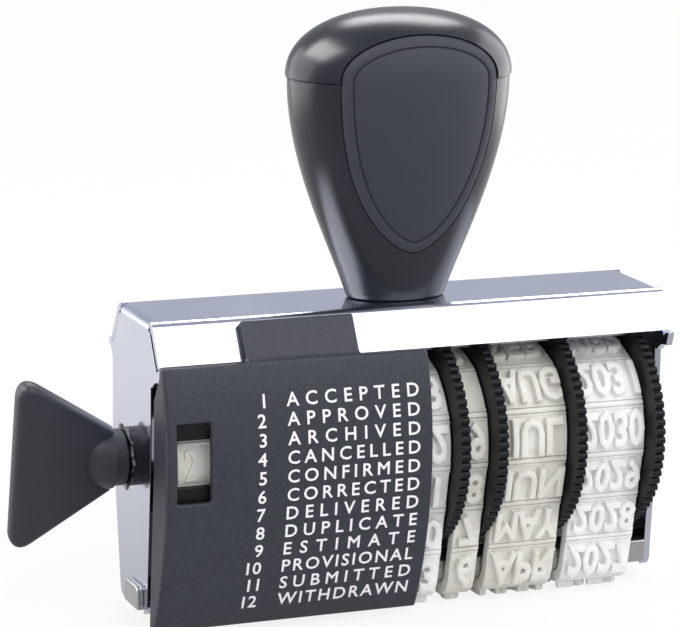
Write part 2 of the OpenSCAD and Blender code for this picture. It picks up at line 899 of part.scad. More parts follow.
// Fan-shaped knob pressed on the drum's journal
module phrase_knob() {
    outer_z = wing_w / 2 - wing_corner;
    root_z = wing_root_w / 2 - wing_root_r;
    color("#3a3c42") on_frame() difference() {
        union() {
            translate([0, 0, axle_h]) rotate([knob_turn, 0, 0]) translate([0, 0, -axle_h]) hull() {
                for (side = [-1, 1]) {
                    wing_corner_form(left_end + wing_corner, side * outer_z, wing_corner);
                    wing_corner_form(collar_end - wing_root_r + knob_round, side * root_z, wing_root_r);
                }
            }
            axle_line(collar_end, knob_face, knob_collar_r);
            intersection() {
                translate([collar_end, 0, axle_h]) sphere(knob_collar_r - knob_round);
                axle_line(left_end, (collar_end + knob_face) / 2, knob_collar_r);
            }
        }
        axle_line(knob_face - socket_l - slip_gap, knob_face + 1, journal_r + run_gap / 2);
    }
}

// Moulded bush in the left end plate, which carries the drum's journal
module plate_bush() {
    from = -half_w - bush_l;
    color("#202226") on_frame() difference() {
        union() {
            axle_line(from, -half_w, bush_r);
            axle_line(from, -inner_x, bush_barrel_r);
        }
        axle_line(from - 1, -inner_x + 1, journal_r + run_gap);
    }
}

// Toothed spring washer between the knob and the bush
module spring_washer() {
    to = -half_w - bush_l - slip_gap;
    color("dimgray") on_frame() difference() {
        along_x(to - washer_t, to) translate([0, axle_h]) polygon([
            for (i = [0 : 2 * washer_teeth - 1])
                let (a = i * 180 / washer_teeth, r = i % 2 == 0 ? washer_r : washer_root)
                    r * [cos(a), sin(a)]
        ]);
        axle_line(to - washer_t - 1, to + 1, journal_r + run_gap);
    }
}

frame();
bridge();
axle();
axle_collar();
axle_clip();
handle_grip();
handle_cap();
handle_panel();
handle_screw();
front_cover();
phrase_band();
day_tens_band();
day_units_band();
month_band();
year_band();
phrase_drum();
plate_bush();
phrase_knob();
spring_washer();
day_tens_wheel();
day_units_wheel();
month_wheel();
year_wheel();
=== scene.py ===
from math import acos, atan2, cos, hypot, pi, radians, sin, sqrt

import bpy
from mathutils import Euler, Matrix, Vector


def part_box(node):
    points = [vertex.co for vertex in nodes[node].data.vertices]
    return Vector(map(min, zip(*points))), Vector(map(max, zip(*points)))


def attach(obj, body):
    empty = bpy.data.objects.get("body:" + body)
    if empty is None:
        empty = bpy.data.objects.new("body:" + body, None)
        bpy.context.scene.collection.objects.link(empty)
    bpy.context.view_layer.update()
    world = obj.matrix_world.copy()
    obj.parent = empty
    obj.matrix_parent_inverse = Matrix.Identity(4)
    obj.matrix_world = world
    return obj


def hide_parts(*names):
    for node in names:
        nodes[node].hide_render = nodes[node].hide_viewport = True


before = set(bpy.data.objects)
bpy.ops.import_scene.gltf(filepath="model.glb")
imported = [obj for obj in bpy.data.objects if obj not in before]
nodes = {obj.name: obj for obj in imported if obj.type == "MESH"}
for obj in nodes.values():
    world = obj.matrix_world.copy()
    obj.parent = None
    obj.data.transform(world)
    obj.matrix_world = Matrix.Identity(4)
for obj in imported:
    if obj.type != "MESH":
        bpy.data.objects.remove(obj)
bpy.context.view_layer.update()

# Folded frame
# One blank of sheet steel, 0.8 mm thick, punched, folded over into a top plate, two leaning flanges and two end
# plates, then chromed. The punched edges are broken all round, so each of them draws a thin line of light.
mm = 0.001
frame_edge = 0.2 * mm
edge_steps = 3
edge_from = radians(35)
weld = 0.002 * mm
flat_within = radians(0.5)
roll_l = 7 * mm
roll_w = 0.2 * mm
cloud_w = 9 * mm


def linear(code):
    shares = [int(code[i:i + 2], 16) / 255 for i in (1, 3, 5)]
    return [c / 12.92 if c < 0.04045 else ((c + 0.055) / 1.055) ** 2.4 for c in shares] + [1]


def add_node(tree, kind, settings={}, links={}):
    node = tree.nodes.new("ShaderNode" + kind)
    for key, value in settings.items():
        if isinstance(key, int) or key in node.inputs:
            node.inputs[key].default_value = value
        else:
            setattr(node, key, value)
    for key, source in links.items():
        tree.links.new(source, node.inputs[key])
    return node


def new_finish(name, settings):
    finish = bpy.data.materials.new(name)
    finish.use_nodes = True
    shader = finish.node_tree.nodes["Principled BSDF"]
    for key, value in settings.items():
        shader.inputs[key].default_value = value
    place = add_node(finish.node_tree, "TexCoord").outputs["Object"]
    return finish, finish.node_tree, shader, place


def dress(piece, finish):
    piece.data.materials.clear()
    piece.data.materials.append(finish)


def copy_of(node, name):
    bpy.ops.object.select_all(action="DESELECT")
    piece = bpy.data.objects.new(name, nodes[node].data.copy())
    bpy.context.scene.collection.objects.link(piece)
    bpy.context.view_layer.objects.active = piece
    piece.select_set(True)
    bpy.ops.mesh.customdata_custom_splitnormals_clear()
    bpy.ops.object.mode_set(mode="EDIT")
    bpy.ops.mesh.select_all(action="SELECT")
    bpy.ops.mesh.remove_doubles(threshold=weld)
    bpy.ops.mesh.dissolve_limited(angle_limit=flat_within)
    bpy.ops.object.mode_set(mode="OBJECT")
    return piece


def break_edges(piece, width, clamp=True):
    edge = piece.modifiers.new("edge", "BEVEL")
    edge.width = width
    edge.segments = edge_steps
    edge.use_clamp_overlap = clamp
    edge.limit_method = "ANGLE"
    edge.angle_limit = edge_from
    bpy.ops.object.modifier_apply(modifier="edge")
    bpy.ops.object.shade_smooth_by_angle(angle=edge_from)
    flats = piece.modifiers.new("flats", "WEIGHTED_NORMAL")
    flats.keep_sharp = True
    bpy.ops.object.modifier_apply(modifier="flats")


# Bright chrome on rolled sheet: a mirror, a little blurred by the rolling marks that run along the stamp
chrome, tree, shader, place = new_finish("chromed_sheet_steel", {"Base Color": linear("#cdd0de"), "Metallic": 1})
rolled = add_node(tree, "Mapping", {"Scale": (1 / roll_l, 1 / roll_w, 1 / roll_w)}, {"Vector": place})
marks = add_node(tree, "TexNoise", {"Scale": 1, "Detail": 3}, {"Vector": rolled.outputs[0]})
clouds = add_node(tree, "TexNoise", {"Scale": 1 / cloud_w, "Detail": 2}, {"Vector": place})
blur = add_node(tree, "MapRange", {"From Min": 0.3, "From Max": 0.7, "To Min": 0.1, "To Max": 0.19},
                {"Value": clouds.outputs[0]})
ripple = add_node(tree, "Bump", {"Strength": 0.1, "Distance": 0.02 * mm}, {"Height": marks.outputs[0]})
tree.links.new(blur.outputs[0], shader.inputs["Roughness"])
tree.links.new(ripple.outputs[0], shader.inputs["Normal"])

folded = copy_of("frame", "folded_frame")
break_edges(folded, frame_edge)
dress(folded, chrome)
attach(folded, "frame")
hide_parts("frame")

# Bridge
# A shallow channel of bright steel that the bands run round. A lug at each end is bent up outside the end plate
# and keeps the channel in its slot.
lug_edge = 0.22 * mm
brush_l = 4 * mm
brush_w = 0.15 * mm

# Bright rolled steel, left bare: greyer than the chrome, with fine brushing along the strip
steel, tree, shader, place = new_finish("bare_rolled_steel", {"Base Color": linear("#b9b9b8"), "Metallic": 1})
drawn = add_node(tree, "Mapping", {"Scale": (1 / brush_l, 1 / brush_w, 1 / brush_w)}, {"Vector": place})
marks = add_node(tree, "TexNoise", {"Scale": 1, "Detail": 4}, {"Vector": drawn.outputs[0]})
blur = add_node(tree, "MapRange", {"From Min": 0.3, "From Max": 0.7, "To Min": 0.22, "To Max": 0.4},
                {"Value": marks.outputs[0]})
ripple = add_node(tree, "Bump", {"Strength": 0.2, "Distance": 0.02 * mm}, {"Height": marks.outputs[0]})
tree.links.new(blur.outputs[0], shader.inputs["Roughness"])
tree.links.new(ripple.outputs[0], shader.inputs["Normal"])

channel = copy_of("bridge", "band_bridge")
break_edges(channel, lug_edge)
dress(channel, steel)
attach(channel, "frame")
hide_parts("bridge")

# Axle, its collar and its ring
# A plain steel rod riveted to the right end plate, a moulded collar beside the last wheel, and an open ring of
# spring steel that keeps both in place. All three keep the shape of their solids.
rubbed_w = 1.6 * mm


def moulded(name, settings, grain_w, detail, dark, pale, strength, depth):
    finish, tree, shader, place = new_finish(name, settings)
    grain = add_node(tree, "TexNoise", {"Scale": 1 / grain_w, "Detail": detail}, {"Vector": place})
    tone = add_node(tree, "Mix", {"data_type": "RGBA", 6: linear(dark), 7: linear(pale)}, {0: grain.outputs[0]})
    skin = add_node(tree, "Bump", {"Strength": strength, "Distance": depth}, {"Height": grain.outputs[0]})
    tree.links.new(tone.outputs[2], shader.inputs["Base Color"])
    tree.links.new(skin.outputs[0], shader.inputs["Normal"])
    return finish


# Black ABS, moulded in a fine-grained tool: nearly black, with a dull sheen
wheel_black = moulded("black_moulded_abs", {"Roughness": 0.42, "IOR": 1.36}, grain_w=0.3 * mm, detail=3,
                      dark="#0d0f12", pale="#14161a", strength=0.25, depth=0.03 * mm)

# Oiled spring steel: dark, with paler rubbed patches a couple of millimetres across
spring, tree, shader, place = new_finish("oiled_spring_steel", {"Metallic": 1, "Roughness": 0.32})
rubbed = add_node(tree, "TexNoise", {"Scale": 1 / rubbed_w, "Detail": 3}, {"Vector": place})
share = add_node(tree, "MapRange", {"From Min": 0.45, "From Max": 0.62}, {"Value": rubbed.outputs[0]})
tone = add_node(tree, "Mix", {"data_type": "RGBA", 6: linear("#3c3c3d"), 7: linear("#b8b8b6")},
                {0: share.outputs[0]})
tree.links.new(tone.outputs[2], shader.inputs["Base Color"])

dress(nodes["axle"], steel)
dress(nodes["axle_collar"], wheel_black)
dress(nodes["axle_clip"], spring)

# Bush of the left end plate
# A small flanged bush, moulded in the black of the wheels and pressed into the plate from outside. The drum's
# journal turns in it.
dress(nodes["plate_bush"], wheel_black)

# Handle
# A pear-shaped grip and a domed cap, both moulded in glossy black and glued at a seam that shows as a fine step.
# A screw from under the top plate holds the grip, and a shallow pocket in front runs over both for the panel.
neck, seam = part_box("handle_grip")
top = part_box("handle_cap")[1].z
handle_x = (neck.x + seam.x) / 2
neck_z = neck.z
seam_z = seam.z
head_r = (seam.x - neck.x) / 2
neck_r = 6.1 * mm
depth_share = 0.66
swell = 1.08
roundness = 2.2
cap_lip = 0.25 * mm
foot_round = 0.3 * mm
seam_gap = 0.06 * mm
seam_round = 0.14 * mm
round_knee = 0.3
grip_rings = 44
cap_rings = 40
handle_facets = 128
fine_weld = 0.001 * mm
smooth_to = radians(40)


def grip_radius(z):
    return neck_r + (head_r - neck_r) * sin(pi / 2 * ((z - neck_z) / (seam_z - neck_z)) ** swell)


def cap_radius(z):
    return head_r * max(1 - ((z - seam_z) / (top - seam_z)) ** roundness, 0) ** (1 / roundness)


def turned(name, profile, centre, axis, steps):
    bpy.ops.object.select_all(action="DESELECT")
    bpy.ops.mesh.primitive_plane_add(size=1 * mm)
    piece = bpy.context.object
    piece.name = name
    bpy.ops.object.mode_set(mode="EDIT")
    bpy.ops.mesh.merge(type="CENTER")
    bpy.ops.transform.translate(value=profile[0])
    for one, two in zip(profile, profile[1:]):
        bpy.ops.mesh.extrude_region_move(TRANSFORM_OT_translate={"value": two - one})
    bpy.ops.mesh.select_all(action="SELECT")
    bpy.ops.mesh.spin(steps=steps, angle=2 * pi, center=centre, axis=axis)
    bpy.ops.mesh.select_all(action="SELECT")
    bpy.ops.mesh.remove_doubles(threshold=fine_weld)
    bpy.ops.mesh.normals_make_consistent(inside=False)
    bpy.ops.object.mode_set(mode="OBJECT")
    return piece


def turned_handle(name, profile):
    points = [Vector((handle_x + r, 0, z)) for r, z in profile]
    piece = turned(name, points, (handle_x, 0, 0), (0, 0, 1), handle_facets)
    bpy.ops.object.mode_set(mode="EDIT")
    bpy.ops.mesh.select_all(action="SELECT")
    bpy.ops.transform.resize(value=(1, depth_share, 1), center_override=(handle_x, 0, neck_z))
    bpy.ops.object.mode_set(mode="OBJECT")
    return piece


side_low, side_high = neck_z + foot_round, seam_z - seam_round
foot_knee, seam_knee = round_knee * foot_round, round_knee * seam_round
rim_r = grip_radius(seam_z)
profile = [(0, neck_z), (neck_r - foot_round, neck_z), (neck_r - foot_knee, neck_z + foot_knee)]
for i in range(grip_rings + 1):
    z = side_low + (side_high - side_low) * i / grip_rings
    profile.append((grip_radius(z), z))
profile += [(rim_r - seam_knee, seam_z - seam_knee), (rim_r - seam_round, seam_z), (0, seam_z)]
grip = turned_handle("handle_grip_form", profile)

cap_r = head_r + cap_lip
cap_z = seam_z + seam_gap
profile = [(0, cap_z), (cap_r - seam_round, cap_z), (cap_r - seam_knee, cap_z + seam_knee)]
for i in range(1, cap_rings):
    angle = pi / 2 * i / cap_rings
    z = seam_z + (top - seam_z) * sin(angle) ** (2 / roundness)
    if z > cap_z + seam_round:
        profile.append((cap_r * cos(angle) ** (2 / roundness), z))
profile.append((0, top))
cap = turned_handle("handle_cap_form", profile)

# The pocket: a teardrop that follows the handle's front, drawn in rings of one inset and one height each
panel_w = 19.8 * mm
panel_low = neck_z + 6.2 * mm
panel_high = neck_z + 32.4 * mm
panel_peak = 0.8
panel_point = 0.6
panel_heart = 0.62
panel_steps = 64
slope_step = 0.05 * mm
pocket_gap = 0.04 * mm
pocket_depth = 1.2 * mm
pocket_out = 2 * mm


def panel_half(share):
    if share < panel_peak:
        return panel_w / 2 * sin(pi / 2 * (share / panel_peak) ** panel_point)
    return panel_w / 2 * sqrt(max(1 - ((share - panel_peak) / (1 - panel_peak)) ** 2, 0))


def handle_front(x, z):
    r = grip_radius(z) if z < seam_z else cap_radius(z)
    return Vector((handle_x + x, -depth_share * sqrt(max(r * r - x * x, 0)), z))


def on_handle(x, z, lift):
    across = handle_front(x + slope_step, z) - handle_front(x - slope_step, z)
    along = handle_front(x, z + slope_step) - handle_front(x, z - slope_step)
    return handle_front(x, z) + lift * across.cross(along).normalized()


shares = [(1 - cos(pi * i / panel_steps)) / 2 for i in range(panel_steps + 1)]
right = [Vector((panel_half(t), panel_low + t * (panel_high - panel_low))) for t in shares]
outline = right + [Vector((-p.x, p.y)) for p in reversed(right[1:-1])]
panel_mid = Vector((0, panel_low + panel_heart * (panel_high - panel_low)))


def panel_ring(inset, shrink):
    ring = []
    for i, p in enumerate(outline):
        along = (outline[(i + 1) % len(outline)] - outline[i - 1]).normalized()
        inner = p - inset * Vector((along.y, -along.x))
        ring.append(panel_mid + shrink * (inner - panel_mid))
    return ring


def teardrop(name, layers):
    bpy.ops.object.select_all(action="DESELECT")
    bpy.ops.mesh.primitive_circle_add(vertices=len(outline), radius=1 * mm, fill_type="NGON")
    piece = bpy.context.object
    piece.name = name
    for number, (inset, lift, shrink) in enumerate(layers):
        if number:
            bpy.ops.object.mode_set(mode="EDIT")
            bpy.ops.mesh.extrude_region_move(TRANSFORM_OT_translate={"value": (0, 0, 0)})
            bpy.ops.object.mode_set(mode="OBJECT")
        chosen = [v for v in piece.data.vertices if v.select]
        for vertex, p in zip(chosen, panel_ring(inset, shrink)):
            vertex.co = on_handle(p.x, p.y, lift)
    bpy.ops.object.mode_set(mode="EDIT")
    bpy.ops.mesh.select_all(action="SELECT")
    bpy.ops.mesh.normals_make_consistent(inside=False)
    bpy.ops.object.mode_set(mode="OBJECT")
    return piece


pocket_walls = [(-pocket_gap, pocket_out, 0.2), (-pocket_gap, pocket_out, 1), (-pocket_gap, -pocket_depth, 1)]
pocket_floor = [(-pocket_gap, -pocket_depth, s / 10) for s in (8, 6, 4, 2)]
cutter = teardrop("panel_cutter", pocket_walls + pocket_floor)
for form in (grip, cap):
    bpy.ops.object.select_all(action="DESELECT")
    bpy.context.view_layer.objects.active = form
    form.select_set(True)
    pocket = form.modifiers.new("pocket", "BOOLEAN")
    pocket.operation = "DIFFERENCE"
    pocket.solver = "EXACT"
    pocket.object = cutter
    bpy.ops.object.modifier_apply(modifier="pocket")
    bpy.ops.object.shade_smooth_by_angle(angle=smooth_to)
bpy.data.objects.remove(cutter)

# Glossy black ABS from a polished tool: deep charcoal with soft reflections, and a faint waviness of the moulding
gloss_black = moulded("glossy_black_abs", {"Roughness": 0.27, "IOR": 1.54}, grain_w=6 * mm, detail=2,
                      dark="#11171f", pale="#161c26", strength=0.03, depth=0.1 * mm)

for form, node in ((grip, "handle_grip"), (cap, "handle_cap")):
    dress(form, gloss_black)
    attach(form, "frame")
    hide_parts(node)
dress(nodes["handle_screw"], steel)

# Handle panel
# A teardrop of matt charcoal plastic, moulded to the handle's curve and glued into its pocket. A raised ring runs
# round a slightly sunk field, with a fine groove between the two and an open joint outside of the ring.
back_lift = -1.05 * mm
field_in = 1.6 * mm
field_lift = -0.1 * mm
groove_lift = -0.26 * mm

back = [(0.3 * mm, back_lift, 0.5), (0.01 * mm, back_lift, 1)]
ring = [(0.01 * mm, -0.14 * mm, 1), (0.05 * mm, -0.04 * mm, 1), (0.15 * mm, 0, 1), (0.6 * mm, 0.03 * mm, 1),
        (1.04 * mm, 0, 1), (1.16 * mm, -0.06 * mm, 1)]
groove = [(1.21 * mm, groove_lift, 1), (1.3 * mm, groove_lift, 1), (1.36 * mm, -0.13 * mm, 1)]
field = [(field_in, field_lift, s / 10) for s in (10, 9, 8, 7, 6, 5, 4, 3, 2, 1)]
panel = teardrop("handle_panel_face", back + ring + groove + field)
bpy.ops.object.shade_smooth_by_angle(angle=smooth_to)

# Matt charcoal ABS from a spark-eroded tool: no clear reflections, a fine even grain
panel_matt = moulded("matt_charcoal_abs", {"Roughness": 0.62, "IOR": 1.5}, grain_w=0.22 * mm, detail=2,
                     dark="#2b2e3a", pale="#323542", strength=0.3, depth=0.02 * mm)
dress(panel, panel_matt)
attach(panel, "frame")
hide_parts("handle_panel")

# Thumbwheels
# Four moulded wheels on the axle: a thin rim with a beaded edge for the thumb, and a fluted hub that drives the
# wheel's band.
for node in ("day_tens_wheel", "day_units_wheel", "month_wheel", "year_wheel"):
    dress(nodes[node], wheel_black)

# Phrase drum and its spring washer
# The drum is a moulded roller with flutes, inside the widest band. A toothed washer of spring steel sits between
# its knob and the bush, and holds the drum where it is set.
dress(nodes["phrase_drum"], wheel_black)
dress(nodes["spring_washer"], spring)

# Knob
# A flat fan-shaped wing with soft thick edges, moulded in one with a round collar that fits on the drum's journal.
# A dome rises out of the wing and ends in a small step where the collar begins.
knob_low, knob_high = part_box("phrase_knob")
axle_z = 20.3 * mm
knob_turn = radians(12)
wing_tip = 11.86 * mm
wing_root = 3.94 * mm
wing_lap = 0.2 * mm
wing_t = 3 * mm
tip_round = 3.16 * mm
tip_steps = 10
wing_edge = 1.15 * mm
wing_edge_steps = 6
wing_edge_from = radians(60)
dome_r = 3.65 * mm
dome_steps = 12
collar_l = 1.6 * mm
collar_step = 0.28 * mm
collar_break = 0.2 * mm
collar_facets = 64
root_x = knob_high.x - collar_l

bpy.ops.object.select_all(action="DESELECT")
bpy.ops.mesh.primitive_plane_add(size=1, rotation=(pi / 2, 0, 0))
knob = bpy.context.object
knob.name = "winged_knob"
bpy.ops.object.transform_apply(location=True, rotation=True, scale=True)
for vertex in knob.data.vertices:
    outer = vertex.co.x < 0
    half = wing_tip if outer else wing_root
    vertex.co = (knob_low.x if outer else root_x + wing_lap, wing_t / 2, half if vertex.co.z > 0 else -half)
bpy.ops.object.mode_set(mode="EDIT")
bpy.ops.mesh.select_mode(type="VERT")
bpy.ops.mesh.select_all(action="DESELECT")
bpy.ops.object.mode_set(mode="OBJECT")
for vertex in knob.data.vertices:
    vertex.select = vertex.co.x < root_x
bpy.ops.object.mode_set(mode="EDIT")
bpy.ops.mesh.bevel(offset=tip_round, segments=tip_steps, affect="VERTICES")
bpy.ops.mesh.select_all(action="SELECT")
bpy.ops.mesh.extrude_region_move(TRANSFORM_OT_translate={"value": (0, -wing_t, 0)})
bpy.ops.mesh.select_all(action="SELECT")
bpy.ops.mesh.normals_make_consistent(inside=False)
bpy.ops.object.mode_set(mode="OBJECT")
edge = knob.modifiers.new("edge", "BEVEL")
edge.width = wing_edge
edge.segments = wing_edge_steps
edge.limit_method = "ANGLE"
edge.angle_limit = wing_edge_from
bpy.ops.object.modifier_apply(modifier="edge")

angles = [pi / 2 * i / dome_steps for i in range(dome_steps + 1)]
dome = [(root_x - dome_r * cos(angle), dome_r * sin(angle)) for angle in angles]
collar_r = dome_r - collar_step
barrel = [(root_x, collar_r), (knob_high.x - collar_break, collar_r), (knob_high.x, collar_r - collar_break),
          (knob_high.x, 0)]
profile = [Vector((x, 0, r)) for x, r in dome + barrel]
collar = turned("knob_collar", profile, (0, 0, 0), (1, 0, 0), collar_facets)
bpy.ops.object.select_all(action="DESELECT")
collar.select_set(True)
knob.select_set(True)
bpy.context.view_layer.objects.active = knob
bpy.ops.object.join()
bpy.ops.object.shade_smooth_by_angle(angle=edge_from)
knob.location = (0, 0, axle_z)
knob.rotation_euler = (knob_turn, 0, 0)
bpy.ops.object.transform_apply(location=True, rotation=True, scale=True)

# Satin charcoal ABS: a fine even grain that spreads the light into one broad soft sheen
knob_satin = moulded("satin_charcoal_abs", {"Roughness": 0.46, "IOR": 1.5}, grain_w=0.25 * mm, detail=3,
                     dark="#21252d", pale="#2a2e37", strength=0.2, depth=0.02 * mm)
dress(knob, knob_satin)
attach(knob, "phrase")
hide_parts("phrase_knob")

# Type bands
# Endless moulded rubber bands that run over the hubs and round the two noses of the bridge. Each line of raised,
# reversed type stands on its own pad, and a low ridge between two fine grooves parts it from the next line.
web = 1 * mm
pad = 0.4 * mm
relief = 0.9 * mm
line_count = 14
line_turn = 0.5
nose_y = 4.1 * mm
nose_r = 1.8 * mm
loop_r = 9.1 * mm
band_edge = 0.12 * mm
nose_z = web + pad + relief + nose_r
nose_drop = axle_z - nose_z
nose_far = hypot(nose_y, nose_drop)
run_angle = acos((loop_r - nose_r) / nose_far) - atan2(nose_drop, nose_y)
run_len = sqrt(nose_far ** 2 - (loop_r - nose_r) ** 2)
core_hub = loop_r + web / 2
core_nose = nose_r + web / 2
nose_arc = core_nose * (pi / 2 + run_angle)
half_loop = nose_y + nose_arc + run_len + core_hub * (pi / 2 - run_angle)
line_pitch = 2 * half_loop / line_count


# A flat band lies along y, with its inside at z = 0. This takes a point of it to its place on the closed loop
def round_the_loop(point):
    s = (point.y + half_loop) % (2 * half_loop) - half_loop
    way = abs(s)
    if way < nose_y:
        angle, y, z = -pi / 2, way, nose_z - core_nose
    elif way < nose_y + nose_arc:
        angle = (way - nose_y) / core_nose - pi / 2
        y, z = nose_y + core_nose * cos(angle), nose_z + core_nose * sin(angle)
    elif way < nose_y + nose_arc + run_len:
        angle, left = run_angle, way - nose_y - nose_arc
        y = nose_y + core_nose * cos(angle) - left * sin(angle)
        z = nose_z + core_nose * sin(angle) + left * cos(angle)
    else:
        angle = (way - nose_y - nose_arc - run_len) / core_hub + run_angle
        y, z = core_hub * cos(angle), axle_z + core_hub * sin(angle)
    out = point.z - web / 2
    return Vector((point.x, (1 if s >= 0 else -1) * (y + out * cos(angle)), z + out * sin(angle)))


# Heights above the web along half a line, both in mm, from the pad's middle to the middle of the ridge
pad_steps = [(0, 0.4), (2.1, 0.4), (2.2, 0.52), (2.36, 0.55), (2.42, 0.5), (2.46, 0.26), (2.52, 0.26), (2.56, 0.5),
             (2.62, 0.55), (line_pitch / mm / 2, 0.55)]
pad_cut = 0.3 * mm
pad_cuts = 6
rounding_error = 1e-9


def pad_height(way):
    for (a, low), (b, high) in zip(pad_steps, pad_steps[1:]):
        if way <= b * mm + rounding_error:
            return (low + (high - low) * (way / mm - a) / (b - a)) * mm
    return pad_steps[-1][1] * mm


def flat_band(name, left, right):
    bpy.ops.object.select_all(action="DESELECT")
    bpy.ops.mesh.primitive_plane_add(size=1, rotation=(pi / 2, 0, 0),
                                     location=((left + right) / 2, -half_loop, web / 2))
    band = bpy.context.object
    band.name = name
    band.scale = (right - left, web, 1)
    bpy.ops.object.transform_apply(location=True, rotation=True, scale=True)
    bpy.ops.object.mode_set(mode="EDIT")
    bpy.ops.mesh.select_all(action="SELECT")
    bpy.ops.mesh.bevel(offset=band_edge, segments=1, affect="VERTICES")
    bpy.ops.mesh.select_all(action="SELECT")
    bpy.ops.mesh.delete(type="ONLY_FACE")
    bpy.ops.mesh.select_all(action="SELECT")
    half = [a * mm for a, height in pad_steps[1:]]
    cuts = [pad_cut * i for i in range(-pad_cuts, pad_cuts + 1)]
    stations = sorted([-way for way in half] + cuts + half)
    for one, two in zip(stations, stations[1:]):
        bpy.ops.mesh.extrude_region_move(TRANSFORM_OT_translate={"value": (0, two - one, 0)})
    bpy.ops.object.mode_set(mode="OBJECT")
    middle = -half_loop + line_pitch / 2
    for vertex in band.data.vertices:
        if vertex.co.z > web / 2:
            vertex.co.z += pad_height(abs(vertex.co.y - middle))
    lines = band.modifiers.new("lines", "ARRAY")
    lines.count = line_count
    lines.use_relative_offset = False
    lines.use_constant_offset = True
    lines.constant_offset_displace = (0, line_pitch, 0)
    lines.use_merge_vertices = True
    lines.merge_threshold = weld
    bpy.ops.object.modifier_apply(modifier="lines")
    return band


# The letters' capitals are a share of the type's size. The tails below the line are pressed up to fit the pad
type_size = 5.5 * mm
type_h = 4 * mm
capital_share = 0.682
tail_share = 0.15
slice_pitch = 0.55 * mm
slice_range = range(-3, 4)


def raised_line(body, x, s, width, widest, tall, up, height, shoulder, weight):
    bpy.ops.object.select_all(action="DESELECT")
    bpy.ops.object.text_add()
    letters = bpy.context.object
    letters.data.body = body
    letters.data.size = type_size
    letters.data.resolution_u = 2
    bpy.context.view_layer.update()
    wide, high = letters.dimensions.x, capital_share * type_size
    bpy.ops.object.convert(target="CURVE")
    grow = 2 * (shoulder + weight)
    letters.scale = (min((width - grow) / wide, widest), (tall - grow) / high, 1)
    bpy.ops.object.transform_apply(location=False, rotation=False, scale=True)
    letters.data.offset = weight
    letters.data.bevel_depth = shoulder
    letters.data.bevel_resolution = 1
    letters.data.extrude = height - shoulder
    bpy.ops.object.convert(target="MESH")
    foot = -shoulder - weight
    for vertex in letters.data.vertices:
        if vertex.co.y < foot:
            vertex.co.y = foot + tail_share * (vertex.co.y - foot)
    corners = [v.co.copy() for v in letters.data.vertices]
    mid_x = (min(c.x for c in corners) + max(c.x for c in corners)) / 2
    mid_y = (min(c.y for c in corners) + max(c.y for c in corners)) / 2
    for vertex in letters.data.vertices:
        vertex.co = (x + vertex.co.x - mid_x, s + up * (vertex.co.y - mid_y), vertex.co.z + web + pad)
    bpy.ops.object.mode_set(mode="EDIT")
    bpy.ops.mesh.select_all(action="SELECT")
    bpy.ops.mesh.remove_doubles(threshold=weld)
    for cut in slice_range:
        bpy.ops.mesh.select_all(action="SELECT")
        bpy.ops.mesh.bisect(plane_co=(0, s + slice_pitch * cut, 0), plane_no=(0, 1, 0))
    bpy.ops.object.mode_set(mode="OBJECT")
    return letters


def make_band(node, name, lines):
    low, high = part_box(node)
    band = flat_band(name, low.x, high.x)
    pieces = []
    for number, parts in enumerate(lines):
        for body, x, *sizes in parts:
            pieces.append(raised_line(body, x, (number + line_turn) * line_pitch, *sizes))
    bpy.ops.object.select_all(action="DESELECT")
    for piece in pieces + [band]:
        piece.select_set(True)
    bpy.context.view_layer.objects.active = band
    bpy.ops.object.join()
    for vertex in band.data.vertices:
        vertex.co = round_the_loop(vertex.co)
    bpy.ops.object.mode_set(mode="EDIT")
    bpy.ops.mesh.select_all(action="SELECT")
    bpy.ops.mesh.remove_doubles(threshold=fine_weld)
    bpy.ops.mesh.normals_make_consistent(inside=False)
    bpy.ops.object.mode_set(mode="OBJECT")
    bpy.ops.object.shade_smooth_by_angle(angle=smooth_to)
    return band


# Moulded rubber, dusted with talc: matt and soft, slightly clouded, with pores too fine to show one by one
talc_w = 2.5 * mm
pore_w = 0.2 * mm
finishes = {}
for slot, pale, dark in (("white_rubber", "#f1f1f0", "#e6e6e5"), ("cream_rubber", "#e3e2dc", "#d6d4ca")):
    rubber, tree, shader, place = new_finish(slot.replace("_", "_moulded_"), {"Roughness": 0.58, "IOR": 1.48})
    clouds = add_node(tree, "TexNoise", {"Scale": 1 / talc_w, "Detail": 4}, {"Vector": place})
    pores = add_node(tree, "TexNoise", {"Scale": 1 / pore_w, "Detail": 2}, {"Vector": place})
    share = add_node(tree, "MapRange", {"From Min": 0.35, "From Max": 0.65}, {"Value": clouds.outputs[0]})
    tone = add_node(tree, "Mix", {"data_type": "RGBA", 6: linear(pale), 7: linear(dark)}, {0: share.outputs[0]})
    skin = add_node(tree, "Bump", {"Strength": 0.2, "Distance": 0.03 * mm}, {"Height": pores.outputs[0]})
    tree.links.new(tone.outputs[2], shader.inputs["Base Color"])
    tree.links.new(skin.outputs[0], shader.inputs["Normal"])
    finishes[slot] = rubber

first_year = 2026
months = ["JAN", "FEB", "MAR", "APR", "MAY", "JUN", "JUL", "AUG", "SEP", "OCT", "NOV", "DEC", "", ""]
years = [str(first_year + i) for i in range(line_count)]
tens = ["0", "1", "2", "3", "0", "1", "2", "3", "0", "1", "2", "3", "", ""]
units = ["0", "1", "2", "3", "4", "5", "6", "7", "8", "9", "", "1", "2", "3"]
phrases = ["ACCEPTED", "APPROVED", "ARCHIVED", "CANCELLED", "CONFIRMED", "CORRECTED", "DELIVERED", "DUPLICATE",
           "ESTIMATE", "PROVISIONAL", "SUBMITTED", "WITHDRAWN"]

# For the type and for the index numbers: the most that a letter is widened, its height, the way it stands, its
# relief, its shoulder and its weight
type_shape = (0.85, type_h, 1, relief, 0.22 * mm, 0)
index_shape = (0.62, 3.4 * mm, -1, 0.22 * mm, 0.05 * mm, -0.05 * mm)
type_margin = 0.3 * mm


